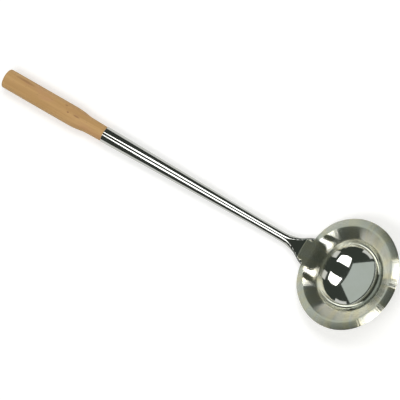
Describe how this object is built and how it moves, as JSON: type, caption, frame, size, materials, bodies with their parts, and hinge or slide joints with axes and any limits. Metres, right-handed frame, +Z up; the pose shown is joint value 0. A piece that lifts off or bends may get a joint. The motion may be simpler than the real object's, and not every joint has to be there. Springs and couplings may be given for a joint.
{
  "type": "wok ladle",
  "caption": "Long ladle with a round pressed bowl, a wide curled brim, a rolled tube handle and a turned wooden grip.",
  "frame": {"origin": "on the table, under the middle of the whole ladle as it lies on the bowl's bottom and on the grip", "axes": "+X from the grip to the bowl, +Y across the ladle, +Z up off the table"},
  "size_m": [0.496, 0.12, 0.0503],
  "materials": {
    "bowl_steel": "polished stainless sheet with a faint radial grain",
    "tube_steel": "polished stainless sheet, rolled, with its seam underneath",
    "grip_wood": "turned beech, sanded and thinly oiled, with small brown flecks"
  },
  "bodies": {
    "root": {"bowl": "bowl_steel", "handle_tube": "tube_steel", "wooden_grip": "grip_wood"}
  },
  "joints": []
}
